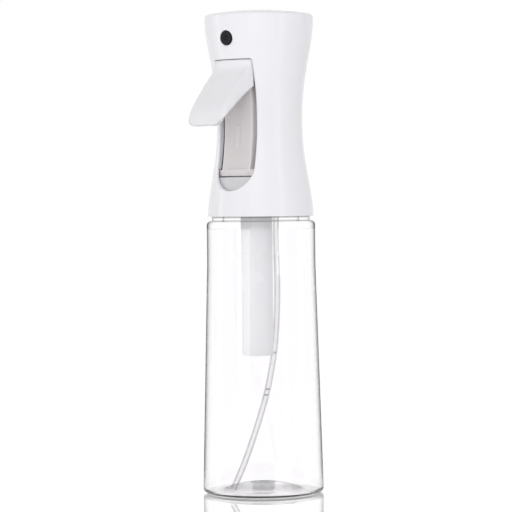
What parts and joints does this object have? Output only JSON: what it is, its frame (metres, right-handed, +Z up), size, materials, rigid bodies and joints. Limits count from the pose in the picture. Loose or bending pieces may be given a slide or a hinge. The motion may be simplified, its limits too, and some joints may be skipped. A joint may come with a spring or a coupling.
{
  "type": "hand mister",
  "caption": "Clear spray bottle with a white hourglass head, a trigger in a slot and an inner pressure cylinder that keeps the fine mist going.",
  "frame": {"origin": "centre of the foot ring's plane, on the bottle's axis", "axes": "+Z up along the bottle's axis; the trigger and the nozzle face -Y; +X is to the right of the nozzle as seen from behind it"},
  "size_m": [0.0602, 0.0745, 0.2405],
  "materials": {
    "clear_bottle": "clear, glossy",
    "white_gloss": "white, glossy",
    "white_inner": "white, satin",
    "grey_frame": "grey, matt",
    "black_nozzle": "black, matt",
    "clear_tube": "translucent",
    "seal_rubber": "black rubber",
    "valve_rubber": "white rubber",
    "spring_steel": "drawn wire",
    "ball_steel": "polished ball"
  },
  "bodies": {
    "bottle": {"bottle": "clear_bottle"},
    "gasket": {"neck_gasket": "valve_rubber"},
    "head": {"shroud": "white_gloss", "closure_ring": "white_inner", "pump_body": "white_inner", "gallery_plugs": "white_inner", "inlet_seat": "white_inner", "transfer_valve": "valve_rubber", "outlet_spring": "spring_steel", "outlet_plug": "white_inner", "vent_valve": "valve_rubber", "inner_frame": "grey_frame", "piston_spring": "spring_steel", "discharge_pipe": "white_inner", "nozzle": "black_nozzle", "nozzle_seal": "seal_rubber", "swirl_insert": "white_inner", "buffer_cylinder": "white_inner", "buffer_end_cap": "white_inner", "buffer_spring": "spring_steel", "dip_tube": "clear_tube"},
    "trigger": {"trigger": "white_gloss"},
    "pump_piston": {"pump_piston": "white_inner", "piston_seal": "seal_rubber"},
    "inlet_ball": {"inlet_ball": "ball_steel"},
    "outlet_valve": {"outlet_valve": "white_inner"},
    "buffer_piston": {"buffer_piston": "white_inner", "buffer_seals": "seal_rubber"}
  },
  "joints": [
    {"name": "head_rise", "type": "slide", "parent": "bottle", "child": "gasket", "axis": [0, 0, 1], "range_m": [0, 0.005]},
    {"name": "head_unscrew", "type": "hinge", "parent": "gasket", "child": "head", "pos_m": [0, 0, 0.152], "axis": [0, 0, 1], "range_deg": [0, 450.01]},
    {"name": "trigger_squeeze", "type": "hinge", "parent": "head", "child": "trigger", "pos_m": [0, -0.0122, 0.2095], "axis": [1, 0, 0], "range_deg": [0, 20]},
    {"name": "piston_lift", "type": "slide", "parent": "head", "child": "pump_piston", "axis": [0, 0, 1], "range_m": [0, 0.0039], "stiffness_N_per_m": 2500, "springref_m": -0.003, "deforming": ["piston_spring"]},
    {"name": "inlet_ball_lift", "type": "slide", "parent": "head", "child": "inlet_ball", "axis": [0, 0, 1], "range_m": [0, 0.0012]},
    {"name": "outlet_valve_lift", "type": "slide", "parent": "head", "child": "outlet_valve", "axis": [0, 0, 1], "range_m": [0, 0.001], "stiffness_N_per_m": 300, "springref_m": -0.002, "deforming": ["outlet_spring"]},
    {"name": "buffer_charge", "type": "slide", "parent": "head", "child": "buffer_piston", "axis": [0, 0, -1], "range_m": [0, 0.018], "stiffness_N_per_m": 400, "springref_m": -0.01, "deforming": ["buffer_spring"]}
  ],
  "couplings": [
    {"joint": "head_unscrew", "follows": "head_rise", "rad_per_m": 1570.8},
    {"joint": "trigger_squeeze", "follows": "piston_lift", "rad_per_m": 89.286}
  ]
}
